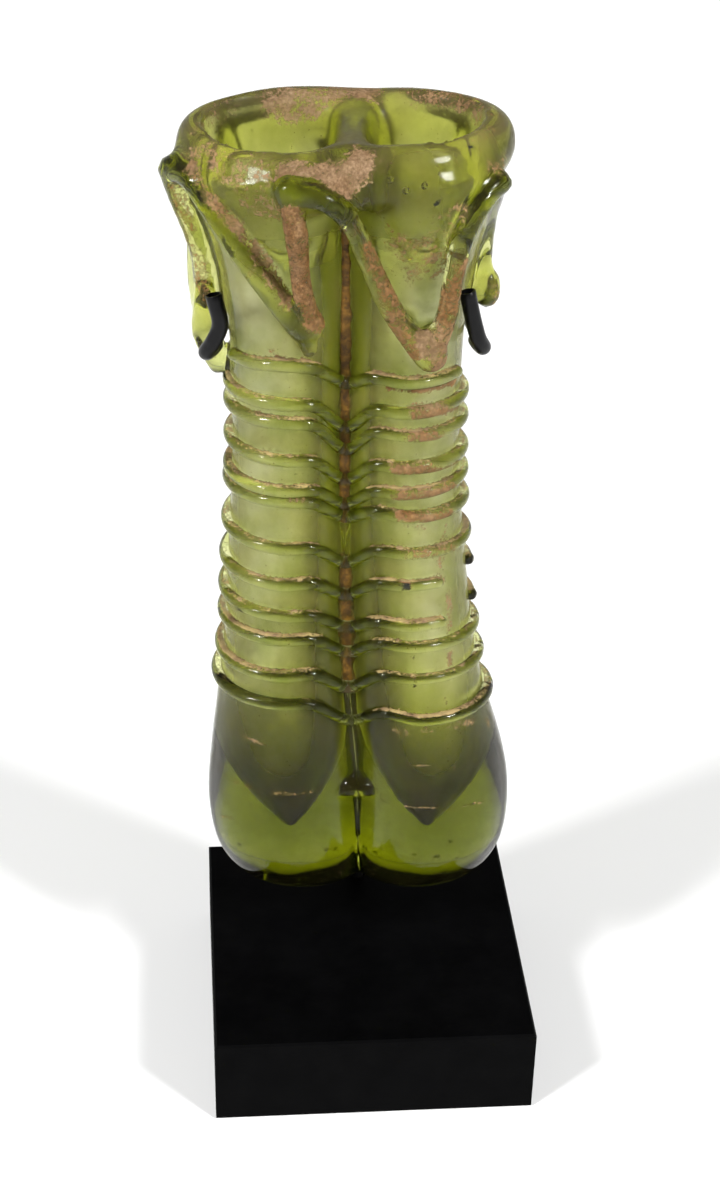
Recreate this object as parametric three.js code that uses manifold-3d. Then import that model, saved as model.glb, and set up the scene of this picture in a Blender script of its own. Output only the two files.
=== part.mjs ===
// A double glass bottle with a zig-zag trail and a wound thread, hung in the two hooks of a low stand.
// Millimetres, +Z up. The origin is the middle of the block's underside and the bottle faces -Y.

import * as THREE from "three";
import { mergeVertices } from "three/addons/utils/BufferGeometryUtils.js";
import Module from "manifold-3d";

const wasm = await Module();
wasm.setup();

// Driving dimensions of the stand
const BLOCK_SIDE = 46;
const BLOCK_HEIGHT = 14;
const BLOCK_EDGE = 0.3;
const ROD_RADIUS = 1.1;
const ROD_Y = 15;
const ROD_SOCKET_DEPTH = 8;
const WIRE_RADIUS = 0.48;
const SLEEVE_RADIUS = 1.05;
const SLEEVE_BORE = 0.82;
const FIT_GAP = 0.3;

// Where the bottle hangs: the middle of its base, its turn about Z and its lean to the left
const BASE_X = -0.8;
const BASE_Y = 1.9;
const BASE_Z = 25.6;
const TURN_DEG = -5.5;
const LEAN_DEG = 2.1;

// Profile of the two tubes: height, half width over both, half depth, half depth of the crease
const PROFILE = [
  [0, 12.2, 3.0, 0.8],
  [0.9, 15.5, 6.2, 2.2],
  [3, 18.5, 8.8, 3.2],
  [6.5, 20.6, 10.1, 3.8],
  [11, 21.6, 10.5, 4.4],
  [17, 21.7, 10.4, 4.6],
  [24, 20.7, 9.9, 4.5],
  [33, 18.8, 9.2, 4.2],
  [43, 17.2, 8.7, 3.9],
  [54, 16.2, 8.2, 3.6],
  [78, 14.9, 7.6, 3.4],
  [88, 15.1, 7.8, 3.6],
  [96, 15.9, 8.5, 4.2],
  [102, 17.2, 9.7, 5.2],
  [107, 18.9, 11.5, 7.6],
  [112, 20.0, 13.2, 12.2],
];
const LOBE_STEPS = 10;
const LOBE_SWEEP_DEG = 142;
// The body bows a little to the left between its shoulder and its belly
const BOW = 0.95;

// The hollows: height, middle from the crease, half width, half depth
const HOLLOW = [
  [9, 10.8, 2.6, 2.6],
  [11.5, 10.9, 5.4, 5.2],
  [16, 11.1, 7.6, 7.3],
  [23, 11.0, 7.7, 8.0],
  [32, 10.3, 7.1, 7.8],
  [43, 9.4, 6.5, 7.3],
  [56, 8.7, 6.2, 6.8],
  [78, 8.1, 5.9, 6.3],
  [97, 8.6, 6.4, 7.1],
  [110, 9.5, 6.9, 8.3],
  [120, 9.5, 7.1, 8.8],
];
const HOLLOW_SIDES = 12;
// Near the rim the hollows turn into D shapes with their straight sides to the web
const MOUTH_SQUARENESS = 0.45;
// The left mouth is the wider one, by this share
const LEFT_MOUTH_WIDER = 0.16;

// The rolled rim, an oval a little pinched at its middle
const RIM_HALF_WIDTH = 17.9;
const RIM_HALF_DEPTH = 11.2;
const RIM_PINCH = 0.6;
const RIM_HEIGHT = 112.3;
const RIM_RADIUS = 3.0;
const RIM_TALL = 4.0;
const RIM_STEPS = 22;
const RIM_SIDES = 6;
const SADDLE_X = 1;
const SADDLE_HEIGHT = 111.2;
const SADDLE_RADIUS = 2.5;
const SADDLE_SPREAD = 0.9;

// The wound thread: mean height of each turn on the front, from the top
const TURN_HEIGHTS = [85.4, 80.2, 77.3, 72.3, 68.1, 65.8, 59.5, 54.3, 48.9, 45.3, 40.0, 34.5];
const THREAD_RADIUS = 0.88;
const THREAD_PROUD = 0.45;
const THREAD_SAG = 3.0;
const THREAD_BRIDGE = 1.8;
const FRONT_DROP = 0.9;
// Corners of the thread's section, turned from straight out: the last two are buried in the wall
const THREAD_CORNERS_DEG = [40, -40, -125, 125];
// Stretches of thread that are there, in turns from the left end of the first one
const THREAD_RUNS = [
  [0.02, 0.49],
  [0.8, 7.41],
  [7.49, 8.4],
  [8.5, 11.55],
];

// The zig-zag trail, from the left side round the front: each V falls from a peak on the rim to a
// low point on the body and rises to the next peak
const TRAIL_RADIUS = 1.6;
const TRAIL_SIDES = 5;
const TRAIL = [
  {
    peak: [-21.2, -3.2, 110.6],
    fall: [[-15.9, -8.2, 106], [-10.6, -9.9, 99.4]],
    low: [-5.8, -9.2, 91.6],
    rise: [[-5.1, -11.6, 101]],
  },
  {
    peak: [-6.2, -13.8, 110.8],
    fall: [[0.6, -13.6, 108.6], [4.2, -11.6, 99.6]],
    low: [10.2, -8.8, 87.6],
    rise: [[14.0, -9.9, 98.6]],
  },
  {
    peak: [18.2, -7.0, 109.8],
    fall: [[17.4, 0.2, 102]],
    low: [16.6, 3.0, 91.4],
    rise: [[17.4, 6.6, 100]],
  },
  {
    peak: [16.6, 9.8, 109.8],
    fall: [[12.4, 10.8, 101]],
    low: [8.4, 8.4, 92],
    rise: [[5.6, 11.4, 101]],
  },
  {
    peak: [2.6, 13.6, 110.2],
    fall: [[-3.4, 11.8, 101.5]],
    low: [-8, 8.6, 92.4],
    rise: [[-12.4, 10.8, 101]],
  },
  {
    peak: [-16.6, 10, 110.2],
    fall: [[-19.0, 5.6, 101], [-19.3, 2.8, 91]],
    low: [-16.8, 0.8, 82.4],
    rise: [[-18.9, 0.4, 87.8], [-18.9, -0.2, 96.4], [-20.3, -1.4, 103.6]],
  },
];
// Where the hot glass pooled: centre and radius
const DROPS = [
  [[-5.0, -9.8, 92.8], 2.5],
  [[17.2, 1.4, 93.8], 1.7],
  [[10.3, -9.0, 88.6], 2.2],
];
const PEAK_RADIUS = 1.9;

// The arms of the stand, in the bottle's own frame: round the back of the body, then to each tip
const ARM_HEIGHT = 87.2;
const ARM_BACK = 9.4;
const LEFT_TIP = [
  [-16.25, 0.4, 87.4],
  [-17.2, -3.0, 86.8],
  [-17.9, -5.6, 87.2],
  [-16.9, -6.6, 89.0],
  [-15.9, -6.7, 91.4],
  [-16.4, -6.4, 94.6],
];
const RIGHT_TIP = [
  [15.7, 0.4, 87.3],
  [16.4, -3.2, 87.3],
  [17.0, -5.6, 87.7],
  [16.4, -6.6, 89.3],
  [15.8, -6.8, 91.6],
  [15.1, -6.6, 94.9],
];
// The sleeves start here along their tips, counted from the first point of the list
const SLEEVE_START = 0.75;
const SLEEVE_OVERHANG = 0.8;
const SLEEVE_STEPS = 8;
const SLEEVE_SIDES = 8;
const ARM_STEPS = 18;

// Closed mesh through rings of equal count; the ends are closed by fans
function loft(rings, ringClosed = false) {
  const count = rings[0].length;
  const positions = rings.flat().flatMap((p) => [p.x, p.y, p.z]);
  const index = [];
  const last = ringClosed ? rings.length : rings.length - 1;
  for (let r = 0; r < last; r += 1) {
    const next = (r + 1) % rings.length;
    for (let i = 0; i < count; i += 1) {
      const j = (i + 1) % count;
      const [a, b, c, d] = [r * count + i, r * count + j, next * count + j, next * count + i];
      index.push(a, b, c, a, c, d);
    }
  }
  if (!ringClosed) {
    [0, rings.length - 1].forEach((r) => {
      const middle = new THREE.Vector3();
      rings[r].forEach((p) => middle.addScaledVector(p, 1 / count));
      const hub = positions.length / 3;
      positions.push(middle.x, middle.y, middle.z);
      for (let i = 0; i < count; i += 1) {
        const edge = [r * count + i, r * count + ((i + 1) % count)];
        index.push(hub, edge[r === 0 ? 1 : 0], edge[r === 0 ? 0 : 1]);
      }
    });
  }
  const geometry = new THREE.BufferGeometry();
  geometry.setAttribute("position", new THREE.Float32BufferAttribute(positions, 3));
  geometry.setIndex(index);
  return geometry;
}

// Solid for joining and cutting, turned outside out if its faces point in
function solid(source) {
  let geometry = source.clone();
  geometry.deleteAttribute("normal");
  geometry.deleteAttribute("uv");
  geometry = mergeVertices(geometry, 1e-4);
  const vertProperties = new Float32Array(geometry.attributes.position.array);
  const triVerts = new Uint32Array(geometry.index.array);
  if (signedVolume(vertProperties, triVerts) < 0) {
    for (let i = 0; i < triVerts.length; i += 3) {
      [triVerts[i + 1], triVerts[i + 2]] = [triVerts[i + 2], triVerts[i + 1]];
    }
  }
  return new wasm.Manifold(new wasm.Mesh({ numProp: 3, vertProperties, triVerts }));
}

function signedVolume(xyz, triangles) {
  const corner = (i) => new THREE.Vector3().fromArray(xyz, 3 * triangles[i]);
  let volume = 0;
  for (let i = 0; i < triangles.length; i += 3) {
    volume += corner(i).dot(corner(i + 1).cross(corner(i + 2))) / 6;
  }
  return volume;
}

function geometryOf(manifold) {
  const { vertProperties, triVerts } = manifold.getMesh();
  const geometry = new THREE.BufferGeometry();
  geometry.setAttribute("position", new THREE.BufferAttribute(vertProperties, 3));
  geometry.setIndex(new THREE.BufferAttribute(triVerts, 1));
  geometry.computeVertexNormals();
  return geometry;
}

function join(manifolds) {
  return manifolds.reduce((whole, piece) => whole.add(piece));
}

function vector([x, y, z]) {
  return new THREE.Vector3(x, y, z);
}

// Value of one column of a table at a height, on straight lines between its rows
function column(table, height, index) {
  const top = table.length - 1;
  const row = table.findIndex((entry, i) => i < top && height <= table[i + 1][0]);
  const k = row < 0 ? top - 1 : row;
  const [h0, h1] = [table[k][0], table[k + 1][0]];
  const t = THREE.MathUtils.clamp((height - h0) / (h1 - h0), 0, 1);
  return THREE.MathUtils.lerp(table[k][index], table[k + 1][index], t);
}

// Round tube along a curve, its radius given by a function of the way along it
function sweep(curve, steps, sides, radiusAt) {
  const frames = curve.computeFrenetFrames(steps, false);
  const rings = [];
  for (let s = 0; s <= steps; s += 1) {
    const centre = curve.getPoint(s / steps);
    const radius = radiusAt(s / steps);
    const ring = [];
    for (let i = 0; i < sides; i += 1) {
      const angle = (2 * Math.PI * i) / sides;
      ring.push(
        centre
          .clone()
          .addScaledVector(frames.normals[s], radius * Math.cos(angle))
          .addScaledVector(frames.binormals[s], radius * Math.sin(angle)),
      );
    }
    rings.push(ring);
  }
  return loft(rings);
}

function ball(centre, radius, detail = 1) {
  const geometry = new THREE.IcosahedronGeometry(radius, detail);
  geometry.translate(centre[0], centre[1], centre[2]);
  return geometry;
}

// How far the body bows to the left at a height
function bow(height) {
  const { smoothstep } = THREE.MathUtils;
  return -BOW * (smoothstep(height, 18, 40) - smoothstep(height, 55, 108));
}

// Both tubes in one outline: a round lobe on each side and a crease at front and back
function bodyRing(height) {
  const [halfWidth, halfDepth, crease] = [1, 2, 3].map((i) => column(PROFILE, height, i));
  const lobeWidth = (halfWidth + halfDepth * 0.12) / 2;
  const middle = halfWidth - lobeWidth;
  const sweepAngle = THREE.MathUtils.degToRad(LOBE_SWEEP_DEG);
  const ring = [];
  [1, -1].forEach((side) => {
    for (let i = 0; i <= LOBE_STEPS; i += 1) {
      const angle = sweepAngle * ((2 * i) / LOBE_STEPS - 1);
      const x = bow(height) + side * (middle + lobeWidth * Math.cos(angle));
      ring.push(new THREE.Vector3(x, side * halfDepth * Math.sin(angle), height));
    }
    ring.push(new THREE.Vector3(bow(height), side * crease, height));
  });
  return ring;
}

function body() {
  return loft(PROFILE.map(([height]) => bodyRing(height)));
}

function hollow(side) {
  const rings = HOLLOW.map(([height, middle, halfWidth, halfDepth]) => {
    const ring = [];
    const mouth = THREE.MathUtils.smoothstep(height, 96, 110);
    const flare = side < 0 ? LEFT_MOUTH_WIDER * mouth : 0;
    for (let i = 0; i < HOLLOW_SIDES; i += 1) {
      const angle = (2 * Math.PI * i) / HOLLOW_SIDES;
      const inward = side * Math.cos(angle) < 0;
      const power = inward ? 1 - MOUTH_SQUARENESS * mouth : 1;
      const across = Math.sign(Math.cos(angle)) * Math.abs(Math.cos(angle)) ** power;
      const along = Math.sign(Math.sin(angle)) * Math.abs(Math.sin(angle)) ** power;
      const x = side * middle + halfWidth * (flare * 0.4 + (1 + flare) * across);
      ring.push(new THREE.Vector3(x + bow(height), halfDepth * along, height));
    }
    return ring;
  });
  return loft(rings);
}

// Point of the rim's oval, pinched in front and behind where the tubes meet
function rimPoint(angle) {
  const pinch = 1 - (RIM_PINCH / RIM_HALF_DEPTH) * Math.exp(-((Math.cos(angle) / 0.3) ** 2));
  const x = RIM_HALF_WIDTH * Math.cos(angle);
  return new THREE.Vector3(x, RIM_HALF_DEPTH * pinch * Math.sin(angle), RIM_HEIGHT);
}

function rim() {
  const rings = [];
  for (let s = 0; s < RIM_STEPS; s += 1) {
    const angle = (2 * Math.PI * s) / RIM_STEPS;
    const outward = rimPoint(angle).setZ(0).normalize();
    const ring = [];
    for (let i = 0; i < RIM_SIDES; i += 1) {
      const around = (2 * Math.PI * (i + 0.5)) / RIM_SIDES;
      const point = rimPoint(angle).addScaledVector(outward, RIM_RADIUS * Math.cos(around));
      point.z += RIM_TALL * Math.sin(around);
      ring.push(point);
    }
    rings.push(ring);
  }
  return loft(rings, true);
}

// The web between the mouths ends in a rounded saddle, lower than the rim and wider where it joins it
function saddle() {
  const reach = RIM_HALF_DEPTH - 1;
  const curve = new THREE.LineCurve3(
    new THREE.Vector3(SADDLE_X, -reach, SADDLE_HEIGHT),
    new THREE.Vector3(SADDLE_X, reach, SADDLE_HEIGHT),
  );
  return sweep(curve, 6, 8, (t) => SADDLE_RADIUS * (1 + SADDLE_SPREAD * Math.abs(2 * t - 1) ** 3));
}

// Angles round one lobe where the body has its edges, so that the thread follows its faces
function lobeAngles() {
  const sweepAngle = THREE.MathUtils.degToRad(LOBE_SWEEP_DEG);
  const angles = [];
  for (let i = 0; i <= LOBE_STEPS; i += 1) {
    const angle = sweepAngle * ((2 * i) / LOBE_STEPS - 1);
    if (Math.abs(angle) < Math.PI * 0.62) {
      angles.push(angle);
    }
  }
  return angles;
}

// Stations of one turn, from the left side round the front: the share of the turn and the place
function turnStations() {
  const front = lobeAngles().filter((angle) => angle <= 0.01);
  const half = [
    ...front.map((angle) => ({ lobe: -1, angle: -Math.PI - angle })).reverse(),
    { lobe: 0, angle: -Math.PI / 2 },
    ...front.map((angle) => ({ lobe: 1, angle })),
  ];
  const back = half.slice(0, -1).reverse().slice(0, -1);
  const whole = [...half, ...back.map(({ lobe, angle }) => ({ lobe, angle: -angle }))];
  return whole.map((station, i) => ({ ...station, share: i / whole.length }));
}

// A point of the wound thread's middle line, which bridges the crease and sags there
function threadPoint(turn, { lobe, angle }) {
  const height = threadHeight(turn);
  const [halfWidth, halfDepth] = [1, 2].map((i) => column(PROFILE, height, i));
  const lobeWidth = (halfWidth + halfDepth * 0.12) / 2;
  const middle = lobe * (halfWidth - lobeWidth);
  if (lobe === 0) {
    const y = Math.sign(Math.sin(angle)) * (halfDepth - THREAD_BRIDGE);
    return new THREE.Vector3(bow(height), y, height - THREAD_SAG);
  }
  const x = bow(height) + middle + (lobeWidth + THREAD_PROUD) * Math.cos(angle);
  const y = (halfDepth + THREAD_PROUD) * Math.sin(angle);
  const slack = Math.max(0, 1 - Math.abs(x - bow(height)) / Math.abs(middle)) ** 2;
  return new THREE.Vector3(x, y, height - THREAD_SAG * slack);
}

// Each turn drops a little across the front and the rest of its pitch behind
function threadHeight(turn) {
  const whole = Math.floor(turn);
  const around = turn - whole;
  const here = TURN_HEIGHTS[Math.min(whole, TURN_HEIGHTS.length - 1)];
  const next = TURN_HEIGHTS[Math.min(whole + 1, TURN_HEIGHTS.length - 1)];
  if (around <= 0.5) {
    return here + FRONT_DROP * (1 - 4 * around);
  }
  return THREE.MathUtils.lerp(here - FRONT_DROP, next + FRONT_DROP, 2 * around - 1);
}

function thread([from, to]) {
  const stations = turnStations();
  const points = [];
  for (let whole = Math.floor(from); whole < to; whole += 1) {
    stations.forEach((station) => {
      const turn = whole + station.share;
      if (turn >= from && turn <= to) {
        points.push(threadPoint(turn, station));
      }
    });
  }
  const up = new THREE.Vector3(0, 0, 1);
  const rings = points.map((centre, i) => {
    const ahead = points[Math.min(i + 1, points.length - 1)].clone();
    ahead.sub(points[Math.max(i - 1, 0)]);
    const outward = ahead.cross(up).normalize();
    return THREAD_CORNERS_DEG.map((corner) => {
      const angle = THREE.MathUtils.degToRad(corner);
      return centre
        .clone()
        .addScaledVector(outward, THREAD_RADIUS * Math.cos(angle))
        .addScaledVector(up, THREAD_RADIUS * Math.sin(angle));
    });
  });
  return loft(rings);
}

// One leg of the zig-zag, thinner at its middle where the glass was drawn out
function leg(points) {
  const curve = new THREE.CatmullRomCurve3(points.map(vector), false, "centripetal");
  const steps = points.length + 1;
  return sweep(curve, steps, TRAIL_SIDES, (t) => TRAIL_RADIUS * (1.12 - 0.2 * Math.sin(Math.PI * t)));
}

function trailLegs() {
  return TRAIL.flatMap(({ peak, fall, low, rise }, i) => {
    const next = TRAIL[(i + 1) % TRAIL.length].peak;
    return [leg([peak, ...fall, low]), leg([low, ...rise, next])];
  });
}

function glassBottle() {
  const outside = join([
    solid(body()),
    solid(rim()),
    solid(saddle()),
    ...trailLegs().map(solid),
    ...TRAIL.map(({ peak }) => solid(ball(peak, PEAK_RADIUS, 0))),
    ...DROPS.map(([centre, radius]) => solid(ball(centre, radius))),
    ...THREAD_RUNS.map((run) => solid(thread(run))),
  ]);
  return geometryOf(outside.subtract(solid(hollow(-1))).subtract(solid(hollow(1))));
}

function standBlock() {
  const half = BLOCK_SIDE / 2 - BLOCK_EDGE;
  const outline = new THREE.Shape();
  outline.moveTo(-half, -half);
  outline.lineTo(half, -half);
  outline.lineTo(half, half);
  outline.lineTo(-half, half);
  outline.closePath();
  const plate = new THREE.ExtrudeGeometry(outline, {
    depth: BLOCK_HEIGHT - 2 * BLOCK_EDGE,
    bevelEnabled: true,
    bevelSize: BLOCK_EDGE,
    bevelThickness: BLOCK_EDGE,
    bevelSegments: 1,
  });
  plate.translate(0, 0, BLOCK_EDGE);
  const socket = new THREE.CylinderGeometry(
    ROD_RADIUS + FIT_GAP,
    ROD_RADIUS + FIT_GAP,
    ROD_SOCKET_DEPTH * 2,
    16,
  );
  socket.rotateX(Math.PI / 2);
  socket.translate(0, ROD_Y, BLOCK_HEIGHT);
  return geometryOf(solid(plate).subtract(solid(socket)));
}

// The bottle's own frame, seen from the stand's
function bottlePose() {
  const turn = new THREE.Matrix4().makeRotationZ(THREE.MathUtils.degToRad(TURN_DEG));
  const lean = new THREE.Matrix4().makeRotationY(THREE.MathUtils.degToRad(-LEAN_DEG));
  return new THREE.Matrix4().makeTranslation(BASE_X, BASE_Y, BASE_Z).multiply(turn).multiply(lean);
}

function inStand(point) {
  return vector(point).applyMatrix4(bottlePose());
}

// Path of one arm from the top of the rod round the body to the hook's tip
function armCurve(tip) {
  const side = Math.sign(tip[0][0]);
  const points = [
    [0, ARM_BACK, ARM_HEIGHT],
    [side * 8.6, ARM_BACK, ARM_HEIGHT],
    [side * 13.8, 7.2, ARM_HEIGHT],
    ...tip,
  ];
  return new THREE.CatmullRomCurve3(points.map(inStand), false, "centripetal");
}

function standCradle() {
  const top = inStand([0, ARM_BACK, ARM_HEIGHT]);
  const foot = new THREE.Vector3(0, ROD_Y, BLOCK_HEIGHT - ROD_SOCKET_DEPTH + FIT_GAP);
  const rod = new THREE.CatmullRomCurve3([
    foot,
    new THREE.Vector3(-0.4, ROD_Y, 40),
    new THREE.Vector3(-1.6, ROD_Y - 0.2, 84),
    new THREE.Vector3(top.x * 0.9, (ROD_Y + top.y) / 2 + 0.6, top.z - 6),
    top,
  ]);
  return geometryOf(
    join([
      solid(sweep(rod, 9, 8, () => ROD_RADIUS)),
      solid(ball(top.toArray(), ROD_RADIUS * 1.2)),
      solid(sweep(armCurve(LEFT_TIP), ARM_STEPS, 6, () => WIRE_RADIUS)),
      solid(sweep(armCurve(RIGHT_TIP), ARM_STEPS, 6, () => WIRE_RADIUS)),
    ]),
  );
}

// Soft sleeve over the end of an arm, open at both ends and a little longer than the wire
function sleeve(tip) {
  const arm = armCurve(tip);
  const knots = arm.points.length - 1;
  const start = (knots - tip.length + 1 + SLEEVE_START) / knots;
  const points = [];
  for (let s = 0; s <= SLEEVE_STEPS; s += 1) {
    points.push(arm.getPoint(THREE.MathUtils.lerp(start, 1, s / SLEEVE_STEPS)));
  }
  const last = points[SLEEVE_STEPS];
  const onward = last.clone().sub(points[SLEEVE_STEPS - 1]).normalize();
  last.addScaledVector(onward, SLEEVE_OVERHANG);
  const before = points[0].clone().sub(points[1]).normalize().add(points[0]);
  const after = last.clone().add(onward);
  const skin = new THREE.CatmullRomCurve3(points);
  const bore = new THREE.CatmullRomCurve3([before, ...points, after]);
  return geometryOf(
    solid(sweep(skin, SLEEVE_STEPS, SLEEVE_SIDES, () => SLEEVE_RADIUS)).subtract(
      solid(sweep(bore, SLEEVE_STEPS + 2, SLEEVE_SIDES, () => SLEEVE_BORE)),
    ),
  );
}

const glass = new THREE.MeshStandardMaterial({
  color: 0x9aa24a,
  roughness: 0.12,
  metalness: 0,
  transparent: true,
  opacity: 0.6,
});
const blackBlock = new THREE.MeshStandardMaterial({ color: 0x0b0b0c, roughness: 0.35, metalness: 0 });
const blackWire = new THREE.MeshStandardMaterial({ color: 0x101010, roughness: 0.45, metalness: 0.2 });
const blackSleeve = new THREE.MeshStandardMaterial({ color: 0x151515, roughness: 0.5, metalness: 0 });

const part = new THREE.Group();

const bottle = new THREE.Mesh(glassBottle(), glass);
bottle.name = "glass_bottle";
bottle.applyMatrix4(bottlePose());
part.add(bottle);

const block = new THREE.Mesh(standBlock(), blackBlock);
block.name = "stand_block";
part.add(block);

const cradle = new THREE.Mesh(standCradle(), blackWire);
cradle.name = "stand_cradle";
part.add(cradle);

[["left_hook_sleeve", LEFT_TIP], ["right_hook_sleeve", RIGHT_TIP]].forEach(([name, tip]) => {
  const mesh = new THREE.Mesh(sleeve(tip), blackSleeve);
  mesh.name = name;
  part.add(mesh);
});

export default part;
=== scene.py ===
"""Looks for the double glass bottle on its stand. Metres, +Z up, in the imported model's frame.
The glass is shaped in millimetres in the bottle's own frame and then set in place."""

import math
import random

import bmesh
import bpy
import numpy as np
from mathutils import Matrix, Vector, noise
from mathutils.bvhtree import BVHTree
from mathutils.kdtree import KDTree


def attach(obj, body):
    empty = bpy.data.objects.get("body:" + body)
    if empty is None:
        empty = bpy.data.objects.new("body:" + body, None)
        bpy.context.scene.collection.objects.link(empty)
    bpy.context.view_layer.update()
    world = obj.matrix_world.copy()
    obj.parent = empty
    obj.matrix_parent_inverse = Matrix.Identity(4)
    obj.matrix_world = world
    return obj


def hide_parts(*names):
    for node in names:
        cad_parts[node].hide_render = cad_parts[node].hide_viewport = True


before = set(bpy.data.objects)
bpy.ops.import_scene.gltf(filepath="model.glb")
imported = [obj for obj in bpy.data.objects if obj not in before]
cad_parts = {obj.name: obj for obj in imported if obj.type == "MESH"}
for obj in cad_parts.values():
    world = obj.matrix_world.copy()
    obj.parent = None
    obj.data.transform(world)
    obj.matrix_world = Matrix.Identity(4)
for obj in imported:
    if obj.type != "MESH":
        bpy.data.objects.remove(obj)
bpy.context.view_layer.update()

MM = 0.001

# The photograph's camera, fitted to the block's corners: turn, height and roll, place in widths of
# the block, and focal length in pixels
PHOTO_HEIGHT = 1179
CAMERA_DEG = (-5.18, 31.43, 1.43)
CAMERA_PLACE = (-0.54436, -5.54133, 5.03796)
BLOCK_WIDTH = 46
FOCAL_PIXELS = 2197
SENSOR = 36

# Where the bottle hangs: the middle of its base, its turn about Z and its lean to the left
BASE = (-0.8, 1.9, 25.6)
TURN_DEG = -5.5
LEAN_DEG = 2.1
POSE = (
    Matrix.Translation(BASE)
    @ Matrix.Rotation(math.radians(TURN_DEG), 4, "Z")
    @ Matrix.Rotation(math.radians(-LEAN_DEG), 4, "Y")
)

# Profile of the two tubes: height, half width over both, half depth, half depth of the crease
PROFILE = [
    (0, 11.6, 1.8, 0.6),
    (0.9, 15.1, 5.2, 1.9),
    (3, 18.3, 8.1, 3.0),
    (6.5, 20.6, 9.9, 3.8),
    (11, 21.6, 10.5, 4.4),
    (17, 21.7, 10.4, 4.6),
    (24, 20.7, 9.9, 4.5),
    (33, 18.8, 9.2, 4.2),
    (43, 17.2, 8.7, 3.9),
    (54, 16.2, 8.2, 3.6),
    (66, 15.3, 7.8, 3.4),
    (78, 14.9, 7.6, 3.4),
    (88, 15.1, 7.8, 3.6),
    (96, 15.9, 8.5, 4.2),
    (102, 17.2, 9.7, 5.2),
    (107, 18.9, 11.5, 7.6),
    (112, 19.8, 13.0, 12.2),
]
LOBE_SWEEP_DEG = 142
BOW = 0.95

# The hollows: height, middle from the crease, half width, half depth
HOLLOW = [
    (11.2, 10.1, 0.3, 0.3),
    (12.6, 10.1, 1.2, 1.2),
    (15.5, 10.2, 2.9, 2.9),
    (19, 10.4, 4.6, 4.7),
    (24, 10.5, 6.2, 6.3),
    (33, 10.1, 6.9, 7.4),
    (43, 9.4, 6.5, 7.3),
    (56, 8.7, 6.2, 6.8),
    (70, 8.2, 6.0, 6.4),
    (86, 8.1, 6.0, 6.4),
    (97, 8.6, 6.4, 7.1),
    (104, 9.3, 6.9, 7.7),
    (110, 9.5, 6.8, 7.6),
    (114, 9.5, 6.9, 7.9),
    (120, 9.5, 7.6, 9.0),
]
MOUTH_FORWARD = 0.7
MOUTH_SQUARENESS = (0.55, 0.3)
LEFT_MOUTH_WIDER = 0.16
MOUTH_FROM = 101.0

RIM_HALF_WIDTH = 17.5
RIM_HALF_DEPTH = 10.8
RIM_PINCH = 0.6
RIM_HEIGHT = 112.5
RIM_RADIUS = 3.4
RIM_BACK_WIDER = 0.5
RIM_TALL = 3.9
# Where the rim is flattened and where it dips: how much, at which angle, over what spread
RIM_FLAT = (0.05, 2.45, 0.42)
RIM_DIPS = [(0.4, 1.45, 0.3), (0.8, 4.25, 0.45)]
SADDLE_X = 1.0
SADDLE_HEIGHT = 112.9
SADDLE_RADIUS = 2.6
SADDLE_SPREAD = 1.5
SADDLE_RISE = 0.7

# Heights of each turn of the thread on the left tube's front, in the crease and on the right tube
TURNS = [
    (86.5, 82.6, 83.8),
    (81.0, 76.2, 79.5),
    (78.3, 73.0, 76.4),
    (72.8, 68.6, 71.8),
    (68.4, 65.0, 67.9),
    (66.9, 63.1, 64.7),
    (59.8, 56.1, 59.1),
    (54.4, 51.2, 54.2),
    (49.6, 46.2, 48.0),
    (46.0, 42.3, 44.7),
    (40.2, 36.6, 39.7),
    (35.8, 31.3, 33.2),
]
THREAD_RADIUS = 0.86
THREAD_PROUD = 0.35
THREAD_BRIDGE = 2.4
SAG_REACH = 5.0
DIRT_REACH = 1.3
BACK_SAG = 3.0
# Stretches of thread that are there, in turns from the left side of the first one
THREAD_RUNS = [(0.02, 0.49), (0.83, 7.43), (7.49, 8.42), (8.5, 11.83)]
# Where in a turn its front starts, and the front's share of the turn
FRONT_FROM = 0.15
FRONT_SHARE = 0.2
LOBE_STEPS = 10
STEPS_PER_TURN = 100

TRAIL_RADIUS = 1.45
# The zig-zag trail: a peak, the way down, the low point and the way up to the next peak;
# a fourth number is a radius of its own
TRAIL = [
    (
        (-21.2, -3.4, 110.9),
        [(-18.3, -7.2, 110.6), (-15.9, -9.2, 107.2), (-13.5, -10.2, 103.6), (-10.6, -10.4, 99.4)],
        (-5.4, -9.5, 91.6),
        [(-4.9, -10.6, 95), (-5.4, -12, 100), (-5.6, -13.5, 105.9)],
    ),
    (
        (-6.3, -14.2, 111.6),
        [(-3, -15, 111.4), (-0.7, -14.8, 109.9), (1.3, -13.9, 107), (2.7, -12.9, 103), (5.6, -11.2, 95.4)],
        (9.8, -9.2, 88),
        [(12.2, -9.9, 93.4), (13.3, -10.3, 100), (14.5, -10.4, 104.4), (16.1, -9.8, 107.9)],
    ),
    ((18.2, -7.2, 110.2), [(17.4, 0.2, 102)], (16.6, 3.0, 91.4), [(17.4, 6.6, 100)]),
    ((16.6, 9.8, 109.8), [(12.4, 10.8, 101)], (8.4, 8.4, 92), [(5.6, 11.4, 101)]),
    ((2.6, 13.6, 110.2), [(-3.4, 11.8, 101.5)], (-8, 8.6, 92.4), [(-12.4, 10.8, 101)]),
    (
        (-16.6, 10, 110.2),
        [(-19.0, 5.6, 101), (-19.3, 2.8, 91)],
        (-16.8, 0.8, 82.4),
        [
            (-18.9, 0.4, 87, 1.35),
            (-18.1, 0.2, 91.2, 1.9),
            (-17.9, -0.2, 96, 1.9),
            (-18.2, -1, 100, 1.9),
            (-20.1, -2.2, 106, 1.6),
        ],
    ),
]
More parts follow.
